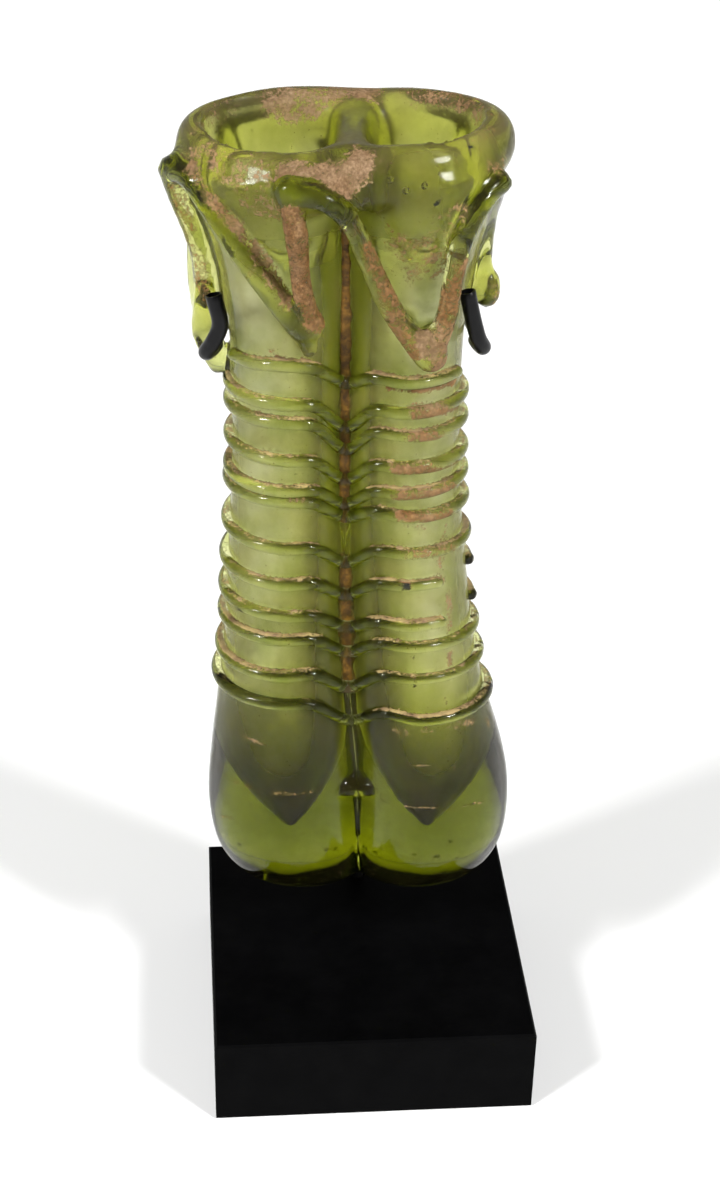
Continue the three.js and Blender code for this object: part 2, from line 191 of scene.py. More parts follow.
# Where the hot glass pooled: centre and half sizes
DROPS = [
    ((-4.9, -10.1, 93.0), (2.4, 1.9, 2.4)),
    ((-4.7, -9.4, 90.4), (1.3, 1.4, 2.4)),
    ((17.6, 1.3, 92.8), (1.9, 1.9, 2.8)),
    ((10.4, -9.2, 88.4), (2.3, 1.9, 2.4)),
    ((-20.9, -3.2, 110.6), (2.0, 1.9, 1.9)),
    ((-6.3, -14.0, 111.7), (1.9, 1.8, 1.9)),
    ((18.3, -7.0, 110), (2.0, 1.7, 1.7)),
    ((16.6, 9.8, 109.8), (1.9, 1.9, 1.9)),
    ((2.6, 13.4, 110.2), (1.9, 1.8, 1.9)),
    ((-16.6, 9.9, 110.2), (1.9, 1.9, 1.9)),
]
# How much narrower a tube's rounded end is
END_SHRINK = 0.6
# A thick broken piece of lost thread that still bridges the crease: centre and half sizes
REMNANT = ((0.1, -6.1, 19.6), (4.4, 2.3, 1.0))

# The deposit in the front crease: height, half width, and how much of it is left
DEPOSIT = [
    (35.2, 0.25, 0.9),
    (36.5, 0.7, 1.0),
    (40, 0.9, 1.0),
    (46, 1.0, 1.0),
    (52, 0.85, 1.0),
    (55, 0.7, 0.75),
    (58, 0.55, 0.3),
    (62, 0.5, 0.35),
    (64, 0.55, 0.85),
    (72, 0.65, 1.0),
    (84, 0.6, 0.95),
    (94, 0.5, 1.0),
    (101, 0.4, 0.9),
    (108, 0.35, 0.4),
]
BACK_DEPOSIT = [
    (30, 0.3, 0.2),
    (44, 0.5, 0.5),
    (60, 0.5, 0.35),
    (76, 0.5, 0.6),
    (92, 0.4, 0.4),
    (104, 0.3, 0.2),
]
# The strips are this much wider than their half widths say, and this deep
DEPOSIT_WIDER = 1.35
DEPOSIT_DEPTH = 0.3

# A stroke of crust that starts above this height is on the rim, and keeps off the trail
RIM_CRUST_FROM = 112.1

# The glass: streaks of tint, what its depth absorbs and how much, and its roughness outside and in
GLASS_TINTS = [(0.32, (0.66, 0.72, 0.46)), (0.58, (1, 1, 0.98))]
GLASS_GREEN = (0.725, 0.745, 0.0)
GLASS_DENSITY = 400
GLASS_ROUGHNESS = (0.07, 0.36)

# Crust, soil and inner film: colours from the bottom of their grain to the top; the inner film's low colours
# are a painted dark refraction of the black block
TAN = [(0.36, (0.1, 0.06, 0.028)), (0.5, (0.18, 0.113, 0.06)), (0.64, (0.33, 0.225, 0.135))]
RUST = [(0.36, (0.04, 0.016, 0.004)), (0.5, (0.12, 0.055, 0.017)), (0.64, (0.27, 0.14, 0.055))]
GOLD = (0.45, 0.34, 0.14)
BLACK = (0.008, 0.008, 0.01)
SOIL = [
    (0.34, (0.02, 0.009, 0.001)),
    (0.47, (0.07, 0.032, 0.002)),
    (0.57, (0.16, 0.075, 0.006)),
    (0.7, (0.3, 0.17, 0.04)),
]
INNER_HIGH = [(0.35, (0.11, 0.1, 0.015)), (0.65, (0.24, 0.22, 0.05))]
# Low in the hollows the film is painted dark: a painted refraction of the black block seen through the belly
INNER_PAINTED_DARK = [(0.35, (0.012, 0.017, 0.004)), (0.65, (0.06, 0.07, 0.02))]

# The thin dull film outside: its colour and least and greatest cover
FILM = (0.15, 0.13, 0.03)
RIM_FILM = (0.17, 0.145, 0.045)
FILM_THIN = 0.12
FILM_THICK = 0.42
# How much of it there is at each height
FILM_SHARES = [
    (0, 0.05),
    (14, 0.12),
    (26, 0.3),
    (40, 0.8),
    (60, 1),
    (96, 1),
    (107, 0.8),
    (111, 0.75),
    (114, 1.15),
    (116, 1.6),
]
THREAD_FILM = 0.15
TRAIL_FILM = 0.3

# The arms of the stand, in the bottle's own frame, round the back of the body and on to each tip
ARM_BACK = [(0, 9.4, 87.2), (8.6, 9.4, 87.2), (13.8, 7.2, 87.2)]
TIPS = {
    "left_hook_sleeve": [
        (-16.25, 0.4, 87.4),
        (-17.2, -3.0, 86.8),
        (-17.9, -5.6, 87.2),
        (-16.9, -6.6, 89.0),
        (-15.9, -6.7, 91.4),
        (-16.4, -6.4, 94.6),
    ],
    "right_hook_sleeve": [
        (15.7, 0.4, 87.3),
        (16.4, -3.2, 87.3),
        (17.0, -5.6, 87.7),
        (16.4, -6.6, 89.3),
        (15.8, -6.8, 91.6),
        (15.1, -6.6, 94.9),
    ],
}
ROD = [(0, 15, 7.1), (-0.4, 15, 40), (-1.6, 14.8, 84)]
ROD_RADIUS = 1.1
WIRE_RADIUS = 0.48
SLEEVE_RADIUS = 1.05
SLEEVE_BORE = 0.82
SLEEVE_START = 0.75
SLEEVE_OVERHANG = 0.8

VOXEL = 0.53
SMOOTH_TIMES = 3
MELT_TIMES = 15
MELTED_FROM = 103.5


def smoothstep(x, low, high):
    t = min(max((x - low) / (high - low), 0.0), 1.0)
    return t * t * (3 - 2 * t)


def column(table, height, index):
    """Value of one column at a height, on a smooth curve through the rows."""
    heights = [row[0] for row in table]
    values = [row[index] for row in table]
    k = min(max(int(np.searchsorted(heights, height)) - 1, 0), len(table) - 2)

    def slope(i):
        a, b = max(i - 1, 0), min(i + 1, len(table) - 1)
        return (values[b] - values[a]) / (heights[b] - heights[a])

    span = heights[k + 1] - heights[k]
    t = min(max((height - heights[k]) / span, 0.0), 1.0)
    h00, h10 = 2 * t**3 - 3 * t**2 + 1, t**3 - 2 * t**2 + t
    h01, h11 = -2 * t**3 + 3 * t**2, t**3 - t**2
    return h00 * values[k] + h10 * span * slope(k) + h01 * values[k + 1] + h11 * span * slope(k + 1)


def bow(height):
    return -BOW * (smoothstep(height, 18, 40) - smoothstep(height, 55, 108))


def curve_through(points, per_span, power=0.0):
    """Points on a smooth curve through the given ones; power 0.5 evens out spans of unlike length."""
    p = [np.array(q, float) for q in points]
    p = [2 * p[0] - p[1]] + p + [2 * p[-1] - p[-2]]
    out = []
    for i in range(1, len(p) - 2):
        a, b, c, d = p[i - 1 : i + 3]
        ab, bc, cd = (np.linalg.norm(q - r) ** power for q, r in ((b, a), (c, b), (d, c)))
        leave = bc * ((b - a) / ab - (c - a) / (ab + bc)) + c - b
        arrive = bc * ((d - c) / cd - (d - b) / (bc + cd)) + c - b
        square = 3 * (c - b) - 2 * leave - arrive
        cube = 2 * (b - c) + leave + arrive
        for s in range(per_span):
            t = s / per_span
            out.append(b + leave * t + square * t**2 + cube * t**3)
    out.append(p[-2])
    return out


def loft(rings, ring_closed=False):
    """Vertices and faces through rings of equal count; the ends are closed by fans."""
    count = len(rings[0])
    verts = [tuple(v) for ring in rings for v in ring]
    faces = []
    last = len(rings) if ring_closed else len(rings) - 1
    for r in range(last):
        n = (r + 1) % len(rings)
        for i in range(count):
            j = (i + 1) % count
            faces.append((r * count + i, r * count + j, n * count + j, n * count + i))
    if not ring_closed:
        for r in (0, len(rings) - 1):
            hub = len(verts)
            verts.append(tuple(np.mean([np.array(v) for v in rings[r]], axis=0)))
            for i in range(count):
                a, b = r * count + i, r * count + (i + 1) % count
                faces.append((hub, b, a) if r == 0 else (hub, a, b))
    return verts, faces


def stations_along(points):
    """The points as arrays, with the direction and two cross directions of the path at each."""
    p = [np.array(q, float) for q in points]
    tangents = [p[min(i + 1, len(p) - 1)] - p[max(i - 1, 0)] for i in range(len(p))]
    tangents = [t / np.linalg.norm(t) for t in tangents]
    side = np.cross(tangents[0], (0.3, 0.2, 0.93))
    stations = []
    for centre, tangent in zip(p, tangents):
        side = side - tangent * np.dot(side, tangent)
        side /= np.linalg.norm(side)
        stations.append((centre, tangent, side, np.cross(tangent, side)))
    return stations


def circle(station, radius, sides, slide=0.0):
    """A ring round a station of a path, moved along the path by slide."""
    centre, tangent, side, other = station
    middle = centre + tangent * slide
    angles = [2 * math.pi * k / sides for k in range(sides)]
    return [middle + radius * (side * math.cos(a) + other * math.sin(a)) for a in angles]


def tube(points, radii, sides=12):
    """Round tube through points, each end rounded off by a smaller ring."""
    stations = stations_along(points)
    rings = [circle(station, radius, sides) for station, radius in zip(stations, radii)]
    first, last = END_SHRINK * radii[0], END_SHRINK * radii[-1]
    return loft([circle(stations[0], first, sides, -first), *rings, circle(stations[-1], last, sides, last)])


def ellipsoid(centre, sizes, steps=12):
    (x, y, z), (a, b, c) = centre, sizes
    around = [math.pi * k / steps for k in range(2 * steps)]
    rings = []
    for i in range(1, steps):
        wide, up = math.sin(math.pi * i / steps), math.cos(math.pi * i / steps)
        rings.append([(x + a * wide * math.cos(k), y + b * wide * math.sin(k), z - c * up) for k in around])
    return loft(rings)


def body_ring(height, per_lobe=44):
    half_width, half_depth, crease = (column(PROFILE, height, i) for i in (1, 2, 3))
    lobe = (half_width + half_depth * 0.12) / 2
    middle = half_width - lobe
    sweep = math.radians(LOBE_SWEEP_DEG)
    ring = []
    for side in (1, -1):
        for i in range(per_lobe + 1):
            angle = sweep * (2 * i / per_lobe - 1)
            x = bow(height) + side * (middle + lobe * math.cos(angle))
            ring.append((x, side * half_depth * math.sin(angle), height))
        ring.append((bow(height), side * crease, height))
    return ring


def body():
    heights = sorted(set(np.linspace(0, 112, 150)) | {0.4, 0.9, 1.4})
    return loft([body_ring(h) for h in heights])


def hollow_ring(side, height, grow=0.0, sides=56):
    middle, half_width, half_depth = (column(HOLLOW, height, i) for i in (1, 2, 3))
    mouth = smoothstep(height, 96, 110)
    flare = LEFT_MOUTH_WIDER * mouth if side < 0 else 0.0
    ring = []
    for i in range(sides):
        c, s = math.cos(2 * math.pi * i / sides), math.sin(2 * math.pi * i / sides)
        power = 1 - MOUTH_SQUARENESS[side > 0] * mouth if side * c < 0 else 1.0
        across = math.copysign(abs(c) ** power, c)
        along = math.copysign(abs(s) ** power, s)
        x = side * middle + half_width * (flare * 0.4 + (1 + flare) * across) + grow * c + bow(height)
        ring.append((x, half_depth * along + grow * s - MOUTH_FORWARD * mouth, height))
    return ring


def hollow(side):
    """The full hollow; near the mouth it is a little narrower than the mouth's own cut."""
    heights = list(np.linspace(11.2, 14, 8)) + list(np.linspace(14.8, 119, 84))
    return loft([hollow_ring(side, h, 0.12 - 0.9 * smoothstep(h, 102, 108)) for h in heights])


def mouth(side):
    heights = list(np.linspace(MOUTH_FROM, 119, 14))
    return loft([hollow_ring(side, h) for h in heights])


def bell(amount, at, width, x):
    """A smooth bump of some amount round a place."""
    return amount * math.exp(-(((x - at) / width) ** 2))


def rim(steps=96, sides=20):
    rings = []
    for s in range(steps):
        angle = 2 * math.pi * s / steps
        pinch = 1 - bell(RIM_PINCH / RIM_HALF_DEPTH, 0, 0.3, math.cos(angle))
        flat = 1 - bell(*RIM_FLAT, angle)
        wider = RIM_BACK_WIDER * max(math.sin(angle), 0)
        x = RIM_HALF_WIDTH * flat * math.cos(angle)
        y = RIM_HALF_DEPTH * flat * pinch * math.sin(angle) - wider
        out = Vector((x, y, 0)).normalized()
        top = RIM_HEIGHT + 0.25 * math.cos(2 * angle + 0.5) + 0.35 * math.sin(angle)
        top -= sum(bell(*dip, angle) for dip in RIM_DIPS)
        ring = []
        for i in range(sides):
            around = 2 * math.pi * i / sides
            wide = (RIM_RADIUS + wider) * math.cos(around)
            ring.append((x + out.x * wide, y + out.y * wide, top + RIM_TALL * math.sin(around)))
        rings.append(ring)
    return loft(rings, True)


def saddle(steps=24, sides=24):
    """The thick web between the mouths; it widens and rises where it runs into the rim."""
    reach = RIM_HALF_DEPTH - 0.6
    rings = []
    for s in range(steps + 1):
        t = s / steps
        wide = SADDLE_RADIUS * (1 + SADDLE_SPREAD * abs(2 * t - 1) ** 4)
        top = SADDLE_HEIGHT + SADDLE_RISE * abs(2 * t - 1) ** 3
        y = -reach + 2 * reach * t
        angles = [2 * math.pi * i / sides for i in range(sides)]
        rings.append([(SADDLE_X + wide * math.cos(a), y, top + SADDLE_RADIUS * math.sin(a)) for a in angles])
    return loft(rings)


def turn_stations():
    """Places round one turn from the left side by the front: (tube, angle)."""
    step = 2 * LOBE_SWEEP_DEG / LOBE_STEPS
    front = [math.radians(-step * k) for k in (4, 3, 2, 1, 0)]
    half = [(-1, -math.pi - a) for a in reversed(front)] + [(0, -math.pi / 2)] + [(1, a) for a in front]
    back = list(reversed(half[:-1]))[:-1]
    return half + [(lobe, -angle) for lobe, angle in back]


def thread_height(turn):
    """Height between the sags: down across the front, then on to the next turn behind."""
    shifted = turn - FRONT_FROM
    whole = math.floor(shifted)
    share = shifted - whole
    here = TURNS[min(max(whole, 0), len(TURNS) - 1)]
    following = TURNS[min(max(whole + 1, 0), len(TURNS) - 1)]
    if whole >= len(TURNS) - 1:
        following = tuple(v - 5 for v in here)
    if share <= FRONT_SHARE:
        return here[0] + (here[2] - here[0]) * share / FRONT_SHARE
    return here[2] + (following[0] - here[2]) * (share - FRONT_SHARE) / (1 - FRONT_SHARE)


def thread_point(turn, station):
    lobe_side, angle = station
    height = thread_height(turn)
    half_width, half_depth = (column(PROFILE, height, i) for i in (1, 2))
    lobe = (half_width + half_depth * 0.12) / 2
    middle = lobe_side * (half_width - lobe)
    row = TURNS[min(int(turn), len(TURNS) - 1)]
    sag = (row[0] + row[2]) / 2 - row[1] if math.sin(angle) <= 0 else BACK_SAG
    if lobe_side == 0:
        y = math.copysign(half_depth - THREAD_BRIDGE, math.sin(angle))
        return (bow(height), y, height - sag)
    across = middle + (lobe + THREAD_PROUD) * math.cos(angle)
    slack = max(0.0, 1 - abs(across) / SAG_REACH) ** 2
    return (bow(height) + across, (half_depth + THREAD_PROUD) * math.sin(angle), height - sag * slack)


def thread_paths():
    stations = turn_stations()
    paths = []
    for start, end in THREAD_RUNS:
        points = []
        for whole in range(int(start), int(end) + 1):
            for k, station in enumerate(stations):
                turn = whole + k / len(stations)
                if start <= turn <= end:
                    points.append(thread_point(turn, station))
        paths.append(curve_through(points, STEPS_PER_TURN // len(stations)))
    return paths


def thread(path, seed):
    """One run of thread, parted into turns, so that no tube meets itself."""
    radii = []
    for i, p in enumerate(path):
        wobble = noise.noise(Vector((i * 0.045, seed, 3.1)))
        radii.append(THREAD_RADIUS * (1 + 0.16 * wobble))
        p[2] += 0.22 * noise.noise(Vector((i * 0.03, seed + 7.7, 1.4)))
    starts = range(0, len(path) - 2, STEPS_PER_TURN)
    return [tube(path[i : i + STEPS_PER_TURN + 1], radii[i : i + STEPS_PER_TURN + 1], 14) for i in starts]


def leg(points, seed):
    path = curve_through(points, 10)
    radii = []
    for i, p in enumerate(path):
        t = i / (len(path) - 1)
        wobble = noise.noise(Vector((i * 0.12, seed, 9.2)))
        radii.append(p[3] * (1.12 - 0.2 * math.sin(math.pi * t)) * (1 + 0.08 * wobble))
    return tube([p[:3] for p in path], radii, 16)


def trail_paths():
    paths = []
    for i, (peak, fall, low, rise) in enumerate(TRAIL):
        following = TRAIL[(i + 1) % len(TRAIL)][0]
        paths.append([peak, *fall, low])
        paths.append([low, *rise, following])
    return [[p if len(p) == 4 else (*p, TRAIL_RADIUS) for p in path] for path in paths]


def joined(shapes):
    """One list of vertices and faces from several."""
    verts, faces = [], []
    for v, f in shapes:
        start = len(verts)
        verts.extend(v)
        faces.extend(tuple(start + i for i in face) for face in f)
    return verts, faces


def new_object(name, shape):
    mesh = bpy.data.meshes.new(name)
    mesh.from_pydata([tuple(float(c) for c in v) for v in shape[0]], [], shape[1])
    mesh.validate()
    bm = bmesh.new()
    bm.from_mesh(mesh)
    bmesh.ops.recalc_face_normals(bm, faces=bm.faces)
    bm.to_mesh(mesh)
    bm.free()
    obj = bpy.data.objects.new(name, mesh)
    bpy.context.scene.collection.objects.link(obj)
    return obj


def apply_modifiers(obj):
    """Freezes the object's modifiers into its mesh."""
    graph = bpy.context.evaluated_depsgraph_get()
    mesh = bpy.data.meshes.new_from_object(obj.evaluated_get(graph))
    obj.modifiers.clear()
    old = obj.data
    obj.data = mesh
    mesh.name = obj.name
    bpy.data.meshes.remove(old)


def remesh(obj, size):
    modifier = obj.modifiers.new("remesh", "REMESH")
    modifier.mode = "VOXEL"
    modifier.voxel_size = size
    modifier.use_smooth_shade = True
    apply_modifiers(obj)


def combine(obj, shape, operation):
    tool = new_object("tool", shape)
    modifier = obj.modifiers.new("combine", "BOOLEAN")
    modifier.operation = operation
    modifier.solver = "MANIFOLD"
    modifier.object = tool
    apply_modifiers(obj)
    bpy.data.objects.remove(tool)


def smooth_shaded(mesh, crease_deg=38):
    for polygon in mesh.polygons:
        polygon.use_smooth = True
    mesh.set_sharp_from_angle(angle=math.radians(crease_deg))


def set_in_place(obj):
    """From the bottle's own millimetres to the frame's metres."""
    obj.data.transform(Matrix.Scale(MM, 4) @ POSE)
    obj.data.update()


def tree_of(points):
    """The points sorted for a quick search of the nearest."""
    tree = KDTree(len(points))
    for i, p in enumerate(points):
        tree.insert(p, i)
    tree.balance()
    return tree


def trail_tree():
    return tree_of([p[:3] for points in trail_paths() for p in curve_through(points, 12)])


def melt(obj):
    """Smooths the rim and the web further, apart from the trail."""
    tree = trail_tree()
    group = obj.vertex_groups.new(name="melted")
    for v in obj.data.vertices:
        if v.co.z > MELTED_FROM:
            clear = smoothstep(tree.find(v.co)[2], 1.9, 3.2)
            group.add([v.index], clear * smoothstep(v.co.z, MELTED_FROM, MELTED_FROM + 3), "REPLACE")
    soften = obj.modifiers.new("melt", "SMOOTH")
    soften.factor = 0.5
    soften.iterations = MELT_TIMES
    soften.vertex_group = group.name
    apply_modifiers(obj)


random.seed(8465)
threads = thread_paths()
outside = joined(
    [body(), rim(), saddle()]
    + [leg(points, seed) for seed, points in enumerate(trail_paths())]
    + [ellipsoid(centre, sizes) for centre, sizes in [*DROPS, REMNANT]]
)
glass = new_object("glass", outside)
remesh(glass, VOXEL)
combine(glass, joined([mouth(-1), mouth(1)]), "DIFFERENCE")
remesh(glass, VOXEL)
soften = glass.modifiers.new("soften", "SMOOTH")
soften.factor = 0.5
soften.iterations = SMOOTH_TIMES
apply_modifiers(glass)
melt(glass)
bare = BVHTree.FromObject(glass, bpy.context.evaluated_depsgraph_get())
turns = [turn for seed, path in enumerate(threads) for turn in thread(path, seed)]
combine(glass, joined(turns[::2]), "UNION")
combine(glass, joined(turns[1::2]), "UNION")
skin = glass.data.copy()


def bubbles(count):
    """Small round seeds inside the rim, the web and the thick floor, and some in the walls."""
    shapes = [
        ellipsoid((5.6, -12.6, 112.6), (0.42, 0.42, 0.42), 6),
        ellipsoid((7.4, -12.3, 111.2), (0.5, 0.5, 0.5), 6),
        ellipsoid((9.6, -11.9, 111.6), (0.42, 0.42, 0.42), 6),
    ]
    for _ in range(count):
        where = random.random()
        size = random.uniform(0.1, 0.24)
        if where < 0.45:
            angle = random.uniform(0, 2 * math.pi)
            centre = (
                RIM_HALF_WIDTH * 1.02 * math.cos(angle),
                RIM_HALF_DEPTH * 1.02 * math.sin(angle),
                random.uniform(110.5, 114.3),
            )
        else:
            side = random.choice((-1, 1))
            centre = (side * random.uniform(6, 15), random.uniform(-4.5, 4.5), random.uniform(2.6, 6.6))
        shapes.append(ellipsoid(centre, (size, size, size * random.uniform(1, 1.6)), 5))
    return shapes


combine(glass, joined([hollow(-1), hollow(1)]), "DIFFERENCE")
combine(glass, joined(bubbles(40)), "DIFFERENCE")
smooth_shaded(glass.data)

# The hollows' rows read off at close heights, for many points at once
HEIGHTS = np.arange(10, 120, 0.25)
HOLLOW_AT = [np.array([column(HOLLOW, h, i) for h in HEIGHTS]) for i in (1, 2, 3)]
BOW_AT = np.array([bow(h) for h in HEIGHTS])
FLARE_AT = np.array([LEFT_MOUTH_WIDER * smoothstep(h, 96, 110) for h in HEIGHTS])


def coordinates(mesh):
    flat = np.empty(len(mesh.vertices) * 3)
    mesh.vertices.foreach_get("co", flat)
    return flat.reshape(-1, 3)


def within_hollow(points, margin):
    """Which points lie in a hollow's outline, widened by a margin."""
    x, y, z = points.T
    middle, half_width, half_depth = (np.interp(z, HEIGHTS, values) for values in HOLLOW_AT)
    bend, wider = np.interp(z, HEIGHTS, BOW_AT), np.interp(z, HEIGHTS, FLARE_AT)
    inside = np.zeros(len(points), bool)
    for side in (-1, 1):
        flare = wider if side < 0 else 0
        centre = side * middle + half_width * flare * 0.4 + bend
        across = (x - centre) / (half_width * (1 + flare) + margin)
        along = y / (half_depth + margin)
        inside |= across**2 + along**2 < 1
    return inside & (z > 11)


def point_attribute(mesh, name, values):
    layer = mesh.attributes.new(name, "FLOAT", "POINT")
    layer.data.foreach_set("value", np.asarray(values, float))


places = coordinates(glass.data)
across_rim = np.hypot(places[:, 0] / RIM_HALF_WIDTH, places[:, 1] / RIM_HALF_DEPTH)
open_top = np.where((places[:, 2] > 104) & (across_rim < 0.98), 0.95, 0.1 * (places[:, 2] > 110))
dull = np.where(within_hollow(places, 0.35) & (places[:, 2] < 106), 1.0, open_top)
point_attribute(glass.data, "inner", dull)
set_in_place(glass)
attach(glass, "root")
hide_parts("glass_bottle")


def material(name):
    """A new material, its node tree and its shader."""
    m = bpy.data.materials.new(name)
    m.use_nodes = True
    return m, m.node_tree, m.node_tree.nodes["Principled BSDF"]


def fill(tree, socket, value):
    """Links an output to the socket, or sets a plain number or colour on it."""
    if isinstance(value, bpy.types.NodeSocket):
        tree.links.new(value, socket)
    elif value is not None:
        socket.default_value = (*value, 1) if isinstance(value, tuple) else value


def noise_node(tree, scale, detail=4.0, rough=0.6, stretch=None):
    vector = tree.nodes.new("ShaderNodeTexCoord").outputs["Object"]
    if stretch:
        mapping = tree.nodes.new("ShaderNodeMapping")
        mapping.inputs["Scale"].default_value = stretch
        tree.links.new(vector, mapping.inputs["Vector"])
        vector = mapping.outputs["Vector"]
    node = tree.nodes.new("ShaderNodeTexNoise")
    node.inputs["Scale"].default_value = scale
    node.inputs["Detail"].default_value = detail
    node.inputs["Roughness"].default_value = rough
    tree.links.new(vector, node.inputs["Vector"])
    return node.outputs["Fac"]


def ramp(tree, source, stops):
    node = tree.nodes.new("ShaderNodeValToRGB")
    while len(node.color_ramp.elements) < len(stops):
        node.color_ramp.elements.new(0.5)
    for element, (at, colour) in zip(node.color_ramp.elements, stops):
        element.position = at
        element.color = (*colour, 1)
    tree.links.new(source, node.inputs["Fac"])
    return node.outputs["Color"]


def attribute(tree, name):
    node = tree.nodes.new("ShaderNodeAttribute")
    node.attribute_name = name
    return node.outputs["Fac"]


def mix(tree, factor, a, b):
    """Mixed colour; a and b are sockets or colours."""
    node = tree.nodes.new("ShaderNodeMix")
    node.data_type = "RGBA"
    for index, value in ((0, factor), (6, a), (7, b)):
        fill(tree, node.inputs[index], value)
    return node.outputs[2]


def maths(tree, operation, a, b, c=None, clamp=False):
    node = tree.nodes.new("ShaderNodeMath")
    node.operation = operation
    node.use_clamp = clamp
    for socket, value in zip(node.inputs, (a, b, c)):
        fill(tree, socket, value)
    return node.outputs[0]


def blend(tree, a, share, b):
    """A share of a and the rest of b."""
    return maths(tree, "ADD", maths(tree, "MULTIPLY", a, share), maths(tree, "MULTIPLY", b, 1 - share))


def ranged(tree, source, low, high, start=0.0, end=1.0):
    """The source's stretch from start to end, laid over low to high."""
    node = tree.nodes.new("ShaderNodeMapRange")
    for name, value in zip(("From Min", "From Max", "To Min", "To Max"), (start, end, low, high)):
        node.inputs[name].default_value = value
    tree.links.new(source, node.inputs["Value"])
    return node.outputs["Result"]


def spread(tree, source, low, high):
    """The middle of a noise's range, laid over low to high."""
    return ranged(tree, source, low, high, 0.3, 0.7)


def bumpy(tree, shader, height, strength, distance):
    bump = tree.nodes.new("ShaderNodeBump")
    bump.inputs["Strength"].default_value = strength
    bump.inputs["Distance"].default_value = distance
    tree.links.new(height, bump.inputs["Height"])
    tree.links.new(bump.outputs["Normal"], shader.inputs["Normal"])


def glass_material():
    m, tree, shader = material("yellow_green_glass")
    shader.inputs["IOR"].default_value = 1.5
    shader.inputs["Transmission Weight"].default_value = 1.0
    shader.inputs["Specular Tint"].default_value = (0.3, 0.3, 0.3, 1)
    tint = noise_node(tree, 170, 6, 0.66, (1.0, 1.0, 0.6))
    fill(tree, shader.inputs["Base Color"], ramp(tree, tint, GLASS_TINTS))
    fill(tree, shader.inputs["Roughness"], ranged(tree, attribute(tree, "inner"), *GLASS_ROUGHNESS))
    wave = noise_node(tree, 120, 3, 0.5, (1.0, 1.0, 0.25))
    ripple = noise_node(tree, 330, 2, 0.5)
    bumpy(tree, shader, maths(tree, "MULTIPLY_ADD", ripple, 0.12, wave), 0.25, 0.0006)
    absorb = tree.nodes.new("ShaderNodeVolumeAbsorption")
    absorb.inputs["Color"].default_value = (*GLASS_GREEN, 1)
    absorb.inputs["Density"].default_value = GLASS_DENSITY
    tree.links.new(absorb.outputs["Volume"], tree.nodes["Material Output"].inputs["Volume"])
    return m


glass.data.materials.clear()
glass.data.materials.append(glass_material())


